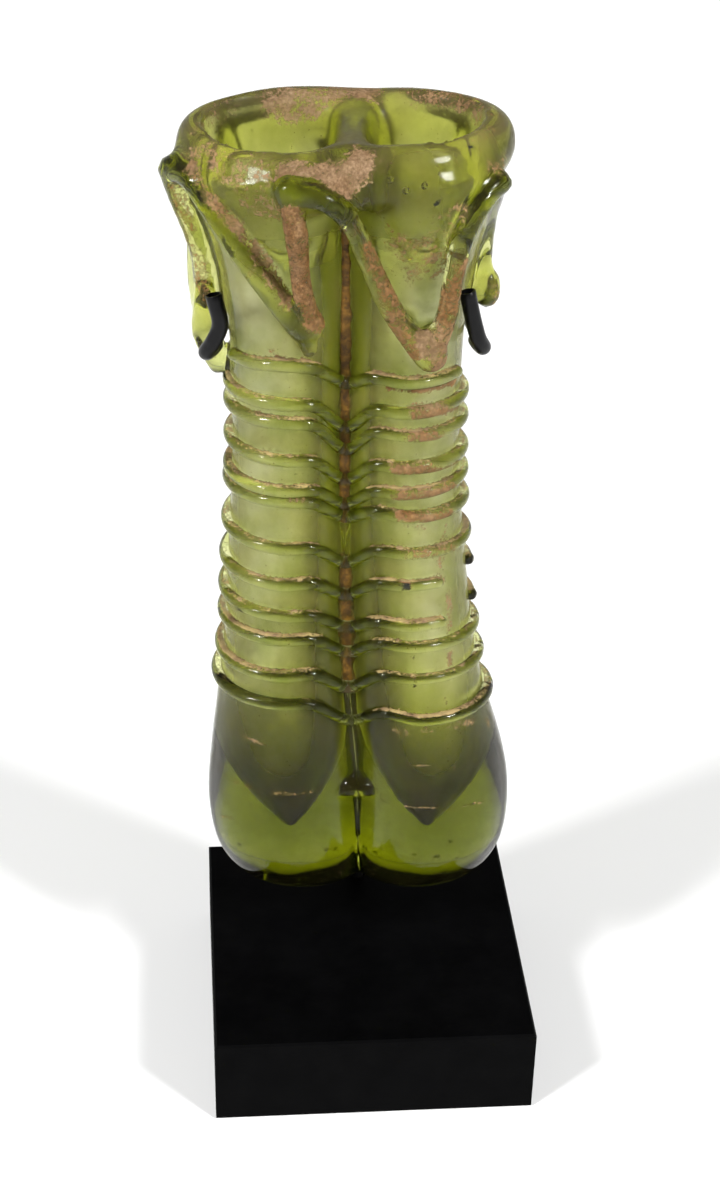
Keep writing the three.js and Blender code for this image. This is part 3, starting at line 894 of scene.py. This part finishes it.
# Burial crust, laid in strokes: reach, strength, tone from gold by tan and rust to black, and the
# points it follows. Most points were picked by eye on the photograph and set on an earlier state of
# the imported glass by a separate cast.
CRUST = [
    # rim and mouth
    (1.9, 0.9, 0.12, [(-6.4, -12.7, 113.6), (-3.3, -13, 112.9), (-0.5, -13.2, 113.3),
        (1.6, -13.1, 114), (2.1, -12.3, 115)]),
    (1.5, 0.9, 0.15, [(-1.6, -13.1, 111.7), (0.3, -13.2, 111.9)]),
    (2.4, 0.62, 0.2, [(-16.4, -7.9, 113.7), (-13.5, -10, 113), (-10.6, -11.6, 113.2),
        (-7.8, -12.4, 113.4)]),
    (2.4, 0.64, 0.35, [(-11, -12.2, 110.5), (-8.3, -11.9, 109.2)]),
    (1.3, 0.55, 0.2, [(-17.9, -6.2, 114.4), (-14.9, -8.7, 114.6)]),
    (2.0, 0.52, 0.2, [(-17.2, -5.7, 115.1), (-16.7, 1.6, 114.7), (-15.2, 5.2, 115.3)]),
    (2.3, 0.82, 0.15, [(-9.2, 8.5, 114.7), (-5.5, 8.4, 114.7), (-2.5, 8.7, 114.7),
        (0.8, 9.1, 115.3), (2.6, 8.9, 115)]),
    (1.7, 0.66, 0.35, [(7.8, 8.8, 115.3), (10.7, 8.2, 115.7), (14, 6.3, 115.8), (16.8, 1.2, 115.6)]),
    (1.6, 0.6, 0.4, [(17.6, -7.6, 111.8), (18.9, -5.2, 112)]),
    # legs of the trail
    (
        1.35,
        0.82,
        0.4,
        [(-18, -7.2, 112), (-15.5, -9.1, 108.9), (-13.1, -9.8, 106.2), (-11.1, -9.7, 102.4),
         (-8.8, -10.2, 98.7), (-7, -10.3, 96)],
    ),
    (1.2, 0.62, 0.8, [(-20.6, -4.6, 108.7), (-19.4, -2.4, 103.1), (-18.4, -1.6, 97.7), (-18.2, -1.2, 93)]),
    (0.9, 0.6, 0.3, [(18.2, -0.6, 94.4), (19, 0.2, 92.4), (18.6, 0.6, 90.6)]),
    (1.7, 0.9, 0.7, [(-6, -15, 109.3), (-5.4, -13.8, 104.8), (-5, -12.5, 99.7),
        (-4.3, -11.4, 96.1), (-3.7, -11.1, 94)]),
    (1.3, 0.78, 0.8, [(2.9, -14.1, 104.4), (4.2, -13.1, 101), (5.6, -12.3, 96.4),
        (6.6, -11.2, 92.8), (8.4, -10.4, 89.3)]),
    (1.0, 0.5, 0.5, [(-3.2, -14.6, 111.4), (-1.2, -14.8, 110.3), (1.2, -14.7, 107.3)]),
    (1.5, 1.0, 0.08, [(9.5, -10.5, 91.3), (10.2, -10.7, 89.8)]),
    (1.5, 0.8, 0.5, [(12.2, -11.1, 93.9), (11.7, -10.4, 89.2), (10.3, -9.4, 86.2)]),
    (1.4, 0.85, 0.8, [(14.1, -10.2, 101.6), (13.4, -10.6, 99.5), (12.7, -11, 96.2), (12.2, -11.1, 93.9)]),
    # right tube below the rim
    (2.7, 0.6, 0.45, [(7, -9.7, 103), (9.5, -9.6, 102.5), (11.3, -8.4, 100.5), (8.4, -9.2, 99.7)]),
    (2.2, 0.5, 0.4, [(12.4, -9.1, 103.8), (11.3, -10.7, 106.8), (13.7, -10.1, 107.6)]),
    (0.5, 0.62, 0.85, [(1.5, -13.1, 111.5), (3.1, -11.7, 109.3), (4.6, -10.4, 106.9),
        (6, -10, 104.6), (6.7, -9.6, 102.9)]),
    # right ends of the thread's upper turns
    (0.85, 0.9, 0.8, [(5.4, -7.6, 83.4), (8.4, -7.5, 82.9), (11.4, -6, 82.7), (13.5, -3.7, 82.3)]),
    (0.9, 0.85, 0.6, [(8.4, -8.3, 79.6), (11.4, -7.3, 79.2), (14.5, -2.4, 78)]),
    (0.7, 0.8, 0.1, [(8.4, -8, 80.5), (12.2, -6.6, 80)]),
    (0.9, 0.8, 0.6, [(8, -8.4, 76.5), (11.4, -7.2, 76)]),
    (0.85, 0.9, 0.65, [(6, -8.5, 72), (9.7, -8.1, 71.5), (13.6, -4.7, 70.6)]),
    (0.85, 0.85, 0.65, [(5.9, -8.6, 68), (9.7, -8.1, 67.9), (13.6, -5.4, 67.5)]),
    (0.85, 0.85, 0.65, [(6.3, -8.8, 65.3), (9.8, -8, 64.4), (12.9, -6, 63.9)]),
    (0.85, 0.65, 0.5, [(7.4, -9.1, 59.4), (10.5, -8.1, 59.1), (13.7, -5.7, 58.6)]),
    # flecks down the right tube
    (0.8, 0.62, 0.2, [(12.5, -6, 60.2), (11.9, -6.8, 56.6), (12.1, -6.6, 53.8)]),
    (0.8, 0.6, 0.2, [(12.9, -6.1, 51.6), (13.4, -6.3, 46)]),
    (0.7, 0.72, 0.2, [(13.2, -6.9, 42.2), (13.4, -7, 40.8)]),
    (0.7, 0.68, 0.2, [(12.6, -8, 35.4), (13.2, -8.8, 34.7)]),
    (0.8, 0.55, 0.2, [(9.7, -9.1, 31.4), (13, -8.3, 31.2), (16.3, -5.9, 30.5)]),
    # scars of lost thread on the belly
    (0.5, 0.6, 0.1, [(-19.8, -5.4, 14), (-17.5, -7.9, 15.3)]),
    (0.35, 0.66, 0.1, [(-14.6, -8.4, 29.3), (-12.7, -9, 29)]),
    (0.4, 0.6, 0.5, [(-19.3, -3.8, 27.9), (-15.6, -7.9, 29.6), (-12.3, -9.1, 28.7)]),
    (0.3, 0.58, 0.2, [(3.2, -7.9, 25), (7.3, -9.5, 25.9), (9.7, -9.8, 25.8), (14.1, -8.8, 24.8)]),
    (
        0.3,
        0.66,
        0.1,
        [(3.5, -8.2, 19), (7.3, -9.9, 18.9), (11.4, -10.4, 18.7), (13.9, -9.8, 18.2),
         (16.4, -8.7, 18.3), (19.6, -5.8, 17)],
    ),
    (0.32, 0.6, -0.3, [(-3.4, -8.4, 20), (-1.4, -8.4, 20.5), (0.8, -8.4, 20.5), (2.8, -8.3, 20)]),
    # small flecks, dark spots and scratches
    (0.55, 1.0, 2, [(4.7, -12.2, 97.2), (5.1, -12.0, 96.3)]),
    (0.4, 0.9, 2, [(10.8, -11.8, 109.2), (11.4, -11.7, 109.7)]),
    (0.28, 0.9, 2, [(9.4, -13.0, 112.0), (9.6, -13.0, 111.9)]),
    (0.35, 0.9, 2, [(14.8, -8.3, 114.9), (15.3, -8.2, 114.7)]),
    (0.3, 0.9, 2, [(-15.8, -0.9, 96.0), (-15.6, -2.1, 96.3)]),
    (0.8, 0.75, 0.3, [(-11.8, -9.3, 103.7), (-11.0, -10.5, 101.5), (-11.3, -11.0, 100.2)]),
    (0.45, 0.7, 0.6, [(-9.8, -7.2, 88.5), (-8.6, -7.6, 87.5)]),
    (0.35, 0.6, 0.6, [(-5.8, -7.4, 87.3), (-4.2, -7.1, 86.1)]),
    (1.2, 0.4, 0.3, [(-9.2, -7.7, 90.9), (-7.8, -7.8, 88.9)]),
    (0.9, 0.62, 0.25, [(-20.0, -2.2, 111.6), (-18.0, -6.3, 113.6), (-16.0, -7.8, 114.5)]),
    (1.0, 0.6, 0.3, [(1.4, -10.1, 115.6), (3.0, -12.1, 115.1), (5.0, -12.6, 114.5)]),
    (1.6, 0.45, 0.7, [(16.5, -6.9, 114.9), (18.4, -3.3, 115.4), (18.1, -0.1, 116.1)]),
    (0.8, 0.4, 0.2, [(16.6, -8.0, 109.7), (15.5, -8.9, 106.4)]),
    (0.5, 1.0, 2, [(6.9, -9.0, 54.5), (7.6, -9.2, 54.5)]),
    (0.22, 0.95, 2, [(6.7, -9.1, 53.9), (6.7, -9.1, 53.3)]),
    (0.6, 1.0, 2, [(-16.1, -5.4, 50.1), (-15.1, -6.6, 50.0)]),
    (0.35, 0.95, 2, [(-15.2, -6.9, 49.5), (-14.7, -7.4, 49.7)]),
    (0.3, 0.95, 2, [(-7.3, -8.2, 45.6), (-6.8, -8.1, 45.5)]),
    (0.35, 0.95, 2, [(-1.5, -4.7, 51.8), (-1.1, -3.9, 51.2)]),
    (0.35, 0.95, 2, [(-3.7, -7.0, 33.5), (-2.8, -6.4, 33.1)]),
    (0.22, 0.9, 2, [(-11.6, -8.4, 41.0), (-9.9, -8.8, 41.1)]),
    (0.28, 0.9, 2, [(-7.1, -8.4, 71.5), (-6.9, -7.5, 70.7)]),
    (0.25, 0.9, 2, [(11.1, -10.4, 14.3), (11.2, -10.4, 14.1)]),
    (0.22, 0.9, 2, [(-3.3, -7.9, 15.3), (-3.2, -7.8, 15.1)]),
    (0.22, 0.9, 2, [(8.2, -8.9, 38.4), (8.5, -8.9, 38.3)]),
    (0.16, 0.62, 2, [(8.2, -8.6, 43.2), (8.2, -9.9, 39.8), (7.2, -8.8, 35.6)]),
    (0.3, 0.9, 2, [(18.2, -1.9, 30.8), (18.5, -1.0, 30.4)]),
    (0.2, 0.85, 2, [(-19.5, -5.1, 22.0), (-17.2, -7.3, 22.1), (-15.5, -8.6, 21.6)]),
    (0.3, 0.55, 0.3, [(-11.6, -9.8, 21.9), (-9.6, -9.9, 21.4), (-7.6, -9.6, 21.3), (-3.9, -8.1, 20.5)]),
    (0.18, 0.8, 2, [(13.9, -9.4, 18.4), (16.4, -8.6, 18.3), (19.6, -5.6, 17.2)]),
    (0.25, 0.7, 0.4, [(2.3, -7.1, 24.7), (5.6, -9.0, 25.9), (8.5, -9.5, 25.8), (14.1, -8.6, 24.8)]),
    (0.4, 0.75, 0.2, [(-8.2, -8.8, 67.7), (-5.6, -8.1, 67.0)]),
    (0.3, 0.6, 0.1, [(-19.2, -5.9, 14.2), (-18.3, -6.9, 14.6)]),
    (0.7, 0.6, 0.15, [(5.7, -8.8, 31.2), (7.3, -9.0, 31.0)]),
    (0.6, 0.6, 0.15, [(18.0, -3.4, 29.7), (18.5, -3.3, 28.1)]),
    (0.8, 0.5, 0.2, [(7.1, -7.9, 63.4), (9.4, -7.3, 62.2)]),
    (0.7, 0.65, 0.15, [(12.5, -5.3, 61.5), (12.9, -5.2, 59.6)]),
    (0.36, 0.6, 0.5, [(-18.6, -6.2, 21.7), (-15.9, -8.8, 21.7), (-12.1, -10, 21.3),
        (-9.2, -10.1, 21.1), (-5.1, -9.3, 21.1)]),
]


def near_trail(points):
    """Which points are on the trail."""
    tree = trail_tree()
    near = np.zeros(len(points), bool)
    for k in np.flatnonzero(points[:, 2] > 82):
        near[k] = tree.find(points[k])[2] < 2.1
    return near


def crust_amount(points, on_trail):
    """Amount and tone of the crust at each point, in the bottle's own millimetres."""
    amount = np.zeros(len(points))
    tone = np.zeros(len(points))
    for reach, strength, hue, line in CRUST:
        line = [np.array(q, float) for q in line]
        low, high = np.min(line, axis=0) - 2 * reach, np.max(line, axis=0) + 2 * reach
        near = np.where(((points > low) & (points < high)).all(axis=1))[0]
        here = points[near]
        distance = np.full(len(near), 9.0)
        for a, b in zip(line, line[1:]):
            along = b - a
            t = np.clip(((here - a) @ along) / (along @ along), 0, 1)
            distance = np.minimum(distance, np.linalg.norm(here - a - t[:, None] * along, axis=1))
        value = strength * np.clip(1.6 - distance / reach, 0, 1) ** 0.8
        if line[0][2] > RIM_CRUST_FROM:
            value = np.where(on_trail[near], 0, value)
        stronger = value > amount[near]
        amount[near[stronger]] = value[stronger]
        tone[near[stronger]] = hue
    return amount, tone


def thread_dirt(points):
    """Thin lines of crust on the upper side of each turn, and which points are on the thread."""
    tree = tree_of([p for run in threads for p in run])
    amount = np.zeros(len(points))
    on_thread = np.zeros(len(points), bool)
    for k in np.flatnonzero((points[:, 2] > 28) & (points[:, 2] < 90)):
        centre, i, distance = tree.find(points[k])
        if distance > DIRT_REACH:
            continue
        on_thread[k] = distance < THREAD_RADIUS * 1.25
        steepness = (points[k][2] - centre[2]) / max(distance, 0.01)
        lively = 0.78 + 0.6 * noise.noise(Vector((i * 0.03, 4.0, 8.0)))
        near = 1 - max(distance - THREAD_RADIUS, 0) / (DIRT_REACH - THREAD_RADIUS)
        outside = smoothstep(abs(points[k][0] - bow(points[k][2])), 1.2, 3.2)
        amount[k] = lively * near * outside * smoothstep(steepness, 0.66, 0.92)
    return np.clip(amount, 0, 1), on_thread


def shell(name, mesh, keep, offset):
    """The faces of a mesh for which keep is true, set off along their normals, in the bottle's own frame."""
    bm = bmesh.new()
    bm.from_mesh(mesh)
    gone = [face for face, kept in zip(bm.faces, keep) if not kept]
    bmesh.ops.delete(bm, geom=gone, context="FACES")
    bm.normal_update()
    for v in bm.verts:
        v.co += v.normal * offset
    data = bpy.data.meshes.new(name)
    bm.to_mesh(data)
    bm.free()
    smooth_shaded(data)
    obj = bpy.data.objects.new(name, data)
    bpy.context.scene.collection.objects.link(obj)
    return obj


def weathering():
    """The film and crust on the outside of the glass."""
    centres = np.empty(len(skin.polygons) * 3)
    skin.polygons.foreach_get("center", centres)
    centres = centres.reshape(-1, 3)
    obj = shell("weathering", skin, ~(within_hollow(centres, 0.3) & (centres[:, 2] < 104)), 0.04)
    points = coordinates(obj.data)
    on_trail = near_trail(points)
    amount, tone = crust_amount(points, on_trail)
    dirt, on_thread = thread_dirt(points)
    tone = np.where(dirt > amount, -0.25, tone)
    point_attribute(obj.data, "crust", np.maximum(amount, dirt))
    point_attribute(obj.data, "tone", tone)
    share = np.interp(points[:, 2], *zip(*FILM_SHARES))
    share *= np.where(on_thread, THREAD_FILM, np.where(on_trail, TRAIL_FILM, 1))
    point_attribute(obj.data, "film", share)
    set_in_place(obj)
    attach(obj, "root")
    obj.data.materials.append(weathering_material())


def crust_colour(tree, grain, hue):
    """From gold and sandy tan by rust to black, mottled by the grain."""
    tan = ramp(tree, grain, TAN)
    rust = ramp(tree, grain, RUST)
    colour = mix(tree, maths(tree, "ADD", hue, 0.0, clamp=True), tan, rust)
    colour = mix(tree, maths(tree, "MULTIPLY", hue, -3.0, clamp=True), colour, GOLD)
    return mix(tree, maths(tree, "MULTIPLY_ADD", hue, 2.0, -2.4, clamp=True), colour, BLACK)


def weathering_material():
    m, tree, shader = material("burial_crust")
    blotch = noise_node(tree, 560, 6, 0.75)
    fine = noise_node(tree, 2400, 4, 0.7)
    grain = maths(tree, "ADD", spread(tree, blotch, -0.5, 0.5), spread(tree, fine, -0.45, 0.45))
    level = maths(tree, "MULTIPLY_ADD", attribute(tree, "crust"), 2.0, -0.9)
    cover = maths(tree, "MULTIPLY", maths(tree, "ADD", grain, level), 1.5, clamp=True)
    specks = maths(tree, "MULTIPLY_ADD", noise_node(tree, 3300, 2, 0.5), 20.0, -14.2, clamp=True)
    cover = maths(tree, "MAXIMUM", cover, specks)
    cloud = noise_node(tree, 150, 4, 0.6)
    film = maths(tree, "MULTIPLY", attribute(tree, "film"), spread(tree, cloud, FILM_THIN, FILM_THICK))
    fill(tree, shader.inputs["Alpha"], maths(tree, "MAXIMUM", maths(tree, "MULTIPLY", cover, 0.93), film))
    drift = spread(tree, noise_node(tree, 420, 3, 0.6), -0.08, 0.35)
    hue = maths(tree, "ADD", attribute(tree, "tone"), drift)
    pale = maths(tree, "MULTIPLY_ADD", attribute(tree, "film"), 2.0, -2.1, clamp=True)
    crust = crust_colour(tree, blend(tree, blotch, 0.5, fine), hue)
    fill(tree, shader.inputs["Base Color"], mix(tree, cover, mix(tree, pale, FILM, RIM_FILM), crust))
    shader.inputs["Roughness"].default_value = 0.6
    shader.inputs["Specular IOR Level"].default_value = 0.15
    bumpy(tree, shader, grain, 0.35, 0.0003)
    return m


weathering()


def black_material(name, colour, roughness, gloss, dust, scale):
    m, tree, shader = material(name)
    grain = noise_node(tree, scale, 5, 0.6)
    dusty = tuple(c + dust for c in colour)
    fill(tree, shader.inputs["Base Color"], ramp(tree, grain, [(0.35, colour), (0.75, dusty)]))
    fill(tree, shader.inputs["Roughness"], ranged(tree, grain, roughness, roughness + 0.2))
    shader.inputs["Specular IOR Level"].default_value = gloss
    bumpy(tree, shader, noise_node(tree, scale * 6, 2, 0.5), 0.12, 0.0002)
    return m


def crease_deposit(name, rows, towards):
    """A lumpy strip of dark soil along the groove between the tubes, laid on the glass."""
    heights = np.arange(rows[0][0], rows[-1][0], 0.35)
    rings, left = [], []
    for z in heights:
        half_width, cover = (column(rows, z, i) for i in (1, 2))
        hit = bare.ray_cast(Vector((bow(z), -30 * towards, z)), Vector((0, towards, 0)))[0]
        lump = noise.noise(Vector((z * 0.55, towards, 2.0)))
        wide = DEPOSIT_WIDER * half_width * (1 + 0.35 * lump)
        deep = DEPOSIT_DEPTH * (1 + 0.5 * noise.noise(Vector((z * 0.8, 5.0, towards))))
        centre = (bow(z) + 0.15 * lump, hit.y - 0.1 * towards)
        around = [2 * math.pi * k / 14 for k in range(14)]
        rings.append([(centre[0] + wide * math.cos(a), centre[1] + deep * math.sin(a), z) for a in around])
        left.extend([cover] * 14)
    obj = new_object(name, loft(rings))
    point_attribute(obj.data, "cover", left + [rows[0][2], rows[-1][2]])
    smooth_shaded(obj.data)
    set_in_place(obj)
    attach(obj, "root")
    return obj


def deposit_material():
    m, tree, shader = material("crease_soil")
    blotch = noise_node(tree, 900, 5, 0.7)
    mottle = blend(tree, blotch, 0.65, noise_node(tree, 2600, 4, 0.7))
    fill(tree, shader.inputs["Base Color"], ramp(tree, mottle, SOIL))
    level = maths(tree, "MULTIPLY_ADD", attribute(tree, "cover"), 1.5, -0.75)
    alpha = maths(tree, "ADD", spread(tree, blotch, -0.5, 0.5), level)
    fill(tree, shader.inputs["Alpha"], maths(tree, "MULTIPLY_ADD", alpha, 3.0, 0.5, clamp=True))
    shader.inputs["Roughness"].default_value = 0.65
    shader.inputs["Specular IOR Level"].default_value = 0.3
    bumpy(tree, shader, mottle, 0.7, 0.0003)
    return m


def open_above(shape):
    """A loft without the fan that closes its last ring."""
    hub = len(shape[0]) - 1
    return shape[0][:-1], [face for face in shape[1] if hub not in face]


def inner_haze_and_painted_dark(side, depth):
    """The milky grey film on the wall of one hollow, thickest low down, where its dark colour is a painted
    refraction of the black block seen through the belly.
    """
    heights = list(np.linspace(11.4, 14, 8)) + list(np.linspace(14.8, 101, 70))
    obj = new_object(
        "left_inner_haze_and_painted_dark" if side < 0 else "right_inner_haze_and_painted_dark",
        open_above(loft([hollow_ring(side, h, 0.05) for h in heights])),
    )
    mesh = obj.data
    z = coordinates(mesh)[:, 2]
    # Where the low painted dark goes: strongest in the belly, scaled by the side's depth
    point_attribute(mesh, "low", depth * np.interp(z, [12, 16, 22, 34, 45], [0.1, 0.5, 1, 0.8, 0]))
    smooth_shaded(mesh, 80)
    set_in_place(obj)
    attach(obj, "root")
    return obj


def inner_haze_and_painted_dark_material():
    m, tree, shader = material("inner_haze_and_painted_dark")
    low = attribute(tree, "low")
    cloud = noise_node(tree, 130, 5, 0.65)
    fine = noise_node(tree, 380, 6, 0.7)
    thick = maths(tree, "MULTIPLY_ADD", low, 0.45, 0.09)
    alpha = maths(tree, "MULTIPLY", thick, spread(tree, cloud, 0.0, 1.8), clamp=True)
    fill(tree, shader.inputs["Alpha"], alpha)
    # High up a milky haze; low down the painted dark refraction of the black block
    colour = mix(tree, low, ramp(tree, fine, INNER_HIGH), ramp(tree, fine, INNER_PAINTED_DARK))
    fill(tree, shader.inputs["Base Color"], colour)
    shader.inputs["Roughness"].default_value = 0.6
    shader.inputs["Specular IOR Level"].default_value = 0.15
    return m


soil = deposit_material()
for strip in (("crease_deposit", DEPOSIT, 1), ("back_crease_deposit", BACK_DEPOSIT, -1)):
    crease_deposit(*strip).data.materials.append(soil)
film = inner_haze_and_painted_dark_material()
# The left hollow gets all of the painted dark low down, the right a quarter of it
for side, depth in ((-1, 1.0), (1, 0.25)):
    inner_haze_and_painted_dark(side, depth).data.materials.append(film)


def in_stand(point):
    return np.array(POSE @ Vector(point))


def arm_path(tip, per_span):
    side = math.copysign(1, tip[0][0])
    back = [(side * x, y, z) for x, y, z in ARM_BACK]
    return curve_through([in_stand(p) for p in back + tip], per_span, 0.5)


def pipe(points, outer, inner, sides=24):
    """Round pipe, open at both ends, with softened lips."""
    stations = stations_along(points)
    last = len(points) - 1
    lip = (outer - inner) / 2
    shoulder = outer - 0.4 * lip
    outside = [(0, shoulder, 0.0), (0, outer, 0.5 * lip)]
    outside += [(i, outer, 0.0) for i in range(1, last)]
    outside += [(last, outer, -0.5 * lip), (last, shoulder, 0.0)]
    inside = [(i, inner, 0.0) for i in range(last, -1, -1)]
    return loft([circle(stations[i], radius, sides, slide) for i, radius, slide in outside + inside], True)


def in_metres(obj, node, finish):
    """Sets a piece of the stand in the frame's metres, in place of its node."""
    obj.data.transform(Matrix.Scale(MM, 4))
    smooth_shaded(obj.data, 50)
    obj.data.materials.clear()
    obj.data.materials.append(finish)
    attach(obj, "root")
    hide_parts(node)


def cradle():
    top = in_stand((0, 9.4, 87.2))
    knee = (top[0] * 0.9, (15 + top[1]) / 2 + 0.6, top[2] - 6)
    rod = curve_through([*ROD, knee, top], 14, 0.5)
    shapes = [tube(rod, [ROD_RADIUS] * len(rod), 24), ellipsoid(top, (ROD_RADIUS * 1.2,) * 3, 14)]
    for tip in TIPS.values():
        path = arm_path(tip, 14)
        shapes.append(tube(path, [WIRE_RADIUS] * len(path), 16))
    obj = new_object("cradle_wire", shapes[0])
    for shape in shapes[1:]:
        combine(obj, shape, "UNION")
    return obj


def sleeve(name, tip):
    per_span = 12
    path = arm_path(tip, per_span)
    first = round((len(ARM_BACK) + SLEEVE_START) * per_span)
    points = path[first:]
    onward = points[-1] - points[-2]
    points.append(points[-1] + onward / np.linalg.norm(onward) * SLEEVE_OVERHANG)
    return new_object(name + "_tube", pipe(points, SLEEVE_RADIUS, SLEEVE_BORE))


paint = black_material("satin_wire", (0.002, 0.002, 0.002), 0.3, 0.16, 0.003, 500)
in_metres(cradle(), "stand_cradle", paint)
rubber = black_material("rubber", (0.0015, 0.0015, 0.0018), 0.22, 0.16, 0.002, 700)
for name, tip in TIPS.items():
    in_metres(sleeve(name, tip), name, rubber)
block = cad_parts["stand_block"].data
block.materials.clear()
block.materials.append(black_material("satin_block", (0.0006, 0.0006, 0.0007), 0.4, 0.02, 0.001, 180))


def floor():
    half = 2.0
    bm = bmesh.new()
    bmesh.ops.create_grid(bm, x_segments=1, y_segments=1, size=half)
    mesh = bpy.data.meshes.new("floor")
    bm.to_mesh(mesh)
    bm.free()
    obj = bpy.data.objects.new("floor", mesh)
    bpy.context.scene.collection.objects.link(obj)
    m, tree, shader = material("pale_floor")
    shader.inputs["Roughness"].default_value = 0.7
    shader.inputs["Base Color"].default_value = (0.93, 0.93, 0.925, 1)
    shader.inputs["Specular IOR Level"].default_value = 0.2
    mesh.materials.append(m)


def area_light(name, place, size, power, target=(0, 0, 0.08)):
    data = bpy.data.lights.new(name, "AREA")
    data.shape = "RECTANGLE"
    data.size, data.size_y = size
    data.energy = power
    obj = bpy.data.objects.new(name, data)
    obj.location = place
    obj.rotation_euler = (Vector(target) - Vector(place)).to_track_quat("-Z", "Y").to_euler()
    bpy.context.scene.collection.objects.link(obj)


def studio():
    """Two soft lamps in front, a pale horizon and a dimmer ceiling."""
    world = bpy.data.worlds.new("studio")
    world.use_nodes = True
    tree = world.node_tree
    split = tree.nodes.new("ShaderNodeSeparateXYZ")
    tree.links.new(tree.nodes.new("ShaderNodeTexCoord").outputs["Generated"], split.inputs["Vector"])
    background = tree.nodes["Background"]
    fill(tree, background.inputs["Strength"], ranged(tree, split.outputs["Z"], 0.9, 0.16, 0.1, 0.5))
    background.inputs["Color"].default_value = (1, 1, 1, 1)
    bpy.context.scene.world = world
    area_light("right_front", (1.55, -1.45, 1.65), (0.45, 0.65), 80)
    area_light("left_front", (-1.65, -1.1, 1.65), (0.45, 0.65), 74)


def camera_axes():
    """Right, up and back of the photograph's camera."""
    azimuth, elevation, roll = (math.radians(v) for v in CAMERA_DEG)
    flat = math.cos(elevation)
    back = Vector((math.sin(azimuth) * flat, -math.cos(azimuth) * flat, math.sin(elevation)))
    level = Vector((math.cos(azimuth), math.sin(azimuth), 0))
    steep = back.cross(level)
    right = math.cos(roll) * level + math.sin(roll) * steep
    up = math.cos(roll) * steep - math.sin(roll) * level
    return right, up, back


def camera():
    """The photograph's camera."""
    data = bpy.data.cameras.new("camera")
    data.sensor_width = SENSOR
    data.lens = FOCAL_PIXELS / PHOTO_HEIGHT * SENSOR
    obj = bpy.data.objects.new("camera", data)
    matrix = Matrix(camera_axes()).transposed().to_4x4()
    matrix.translation = Vector(CAMERA_PLACE) * BLOCK_WIDTH * MM
    obj.matrix_world = matrix
    bpy.context.scene.collection.objects.link(obj)
    bpy.context.scene.camera = obj


floor()
studio()
camera()
bpy.context.scene.view_settings.view_transform = "Standard"
